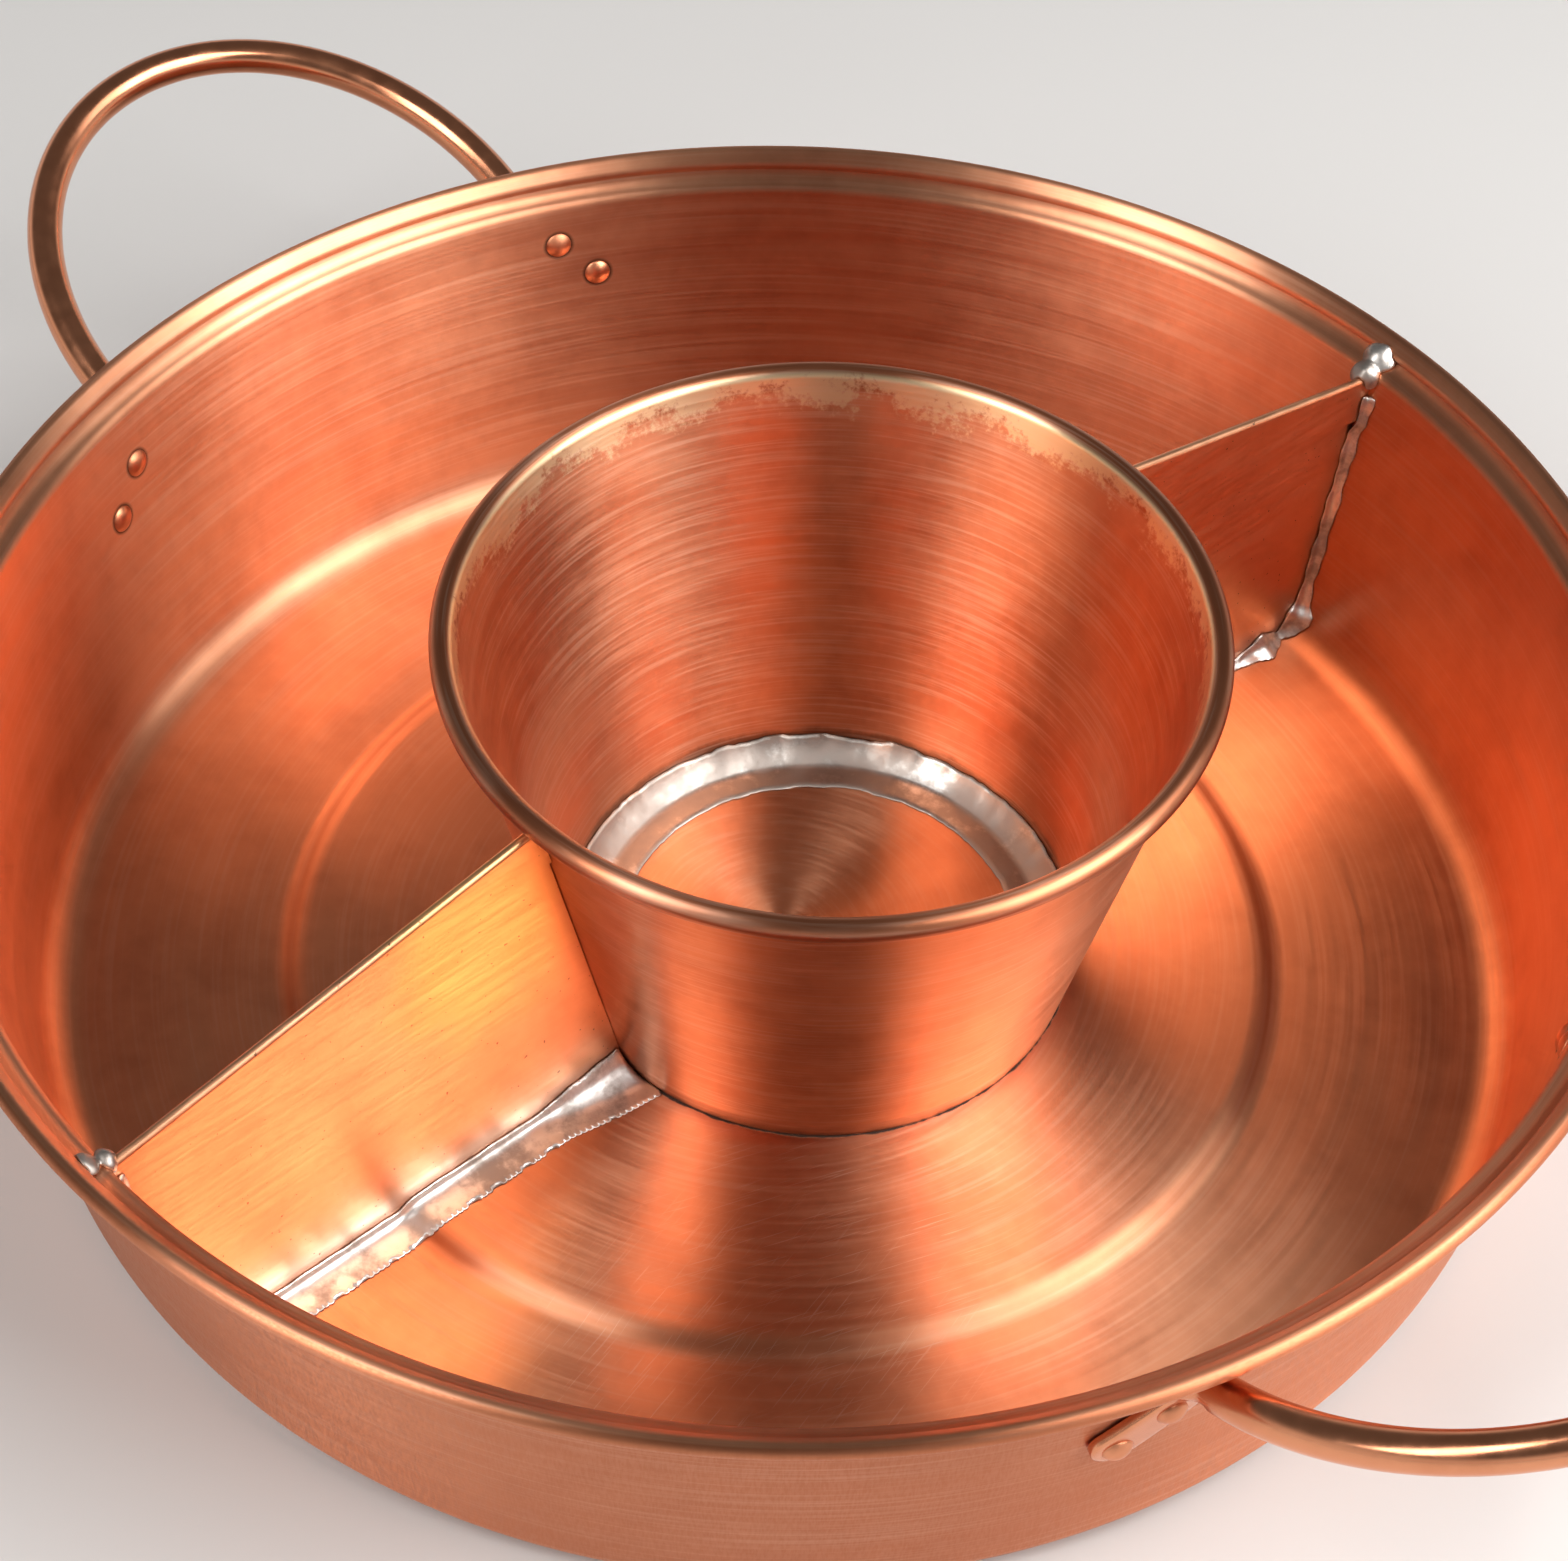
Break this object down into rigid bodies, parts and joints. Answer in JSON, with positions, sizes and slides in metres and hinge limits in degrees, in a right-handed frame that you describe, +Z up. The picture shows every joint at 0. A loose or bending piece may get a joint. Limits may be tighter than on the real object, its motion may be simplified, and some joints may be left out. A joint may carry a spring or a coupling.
{
  "type": "divided hot pot",
  "caption": "Shallow round copper pot with a tapered centre cup, soldered divider plates, a rolled rim and riveted loop handles.",
  "frame": {"origin": "middle of the pan's underside, on the surface it stands on", "axes": "+X towards the right handle, +Y along the back divider, +Z up"},
  "size_m": [0.4574, 0.34, 0.1029],
  "materials": {
    "copper": "brushed copper",
    "handle_copper": "polished copper, darker",
    "rivet_copper": "satin copper",
    "tin": "cast tin solder"
  },
  "bodies": {
    "root": {"pan_body": "copper", "centre_cup": "copper", "front_divider": "copper", "back_divider": "copper", "left_handle": "handle_copper", "right_handle": "handle_copper", "cup_ring_solder": "tin", "front_seam_solder": "tin", "back_seam_solder": "tin", "front_rim_solder": "tin", "back_rim_solder": "tin", "left_front_upper_rivet": "rivet_copper", "left_front_lower_rivet": "rivet_copper", "left_back_upper_rivet": "rivet_copper", "left_back_lower_rivet": "rivet_copper", "right_front_upper_rivet": "rivet_copper", "right_front_lower_rivet": "rivet_copper", "right_back_upper_rivet": "rivet_copper", "right_back_lower_rivet": "rivet_copper"}
  },
  "joints": []
}
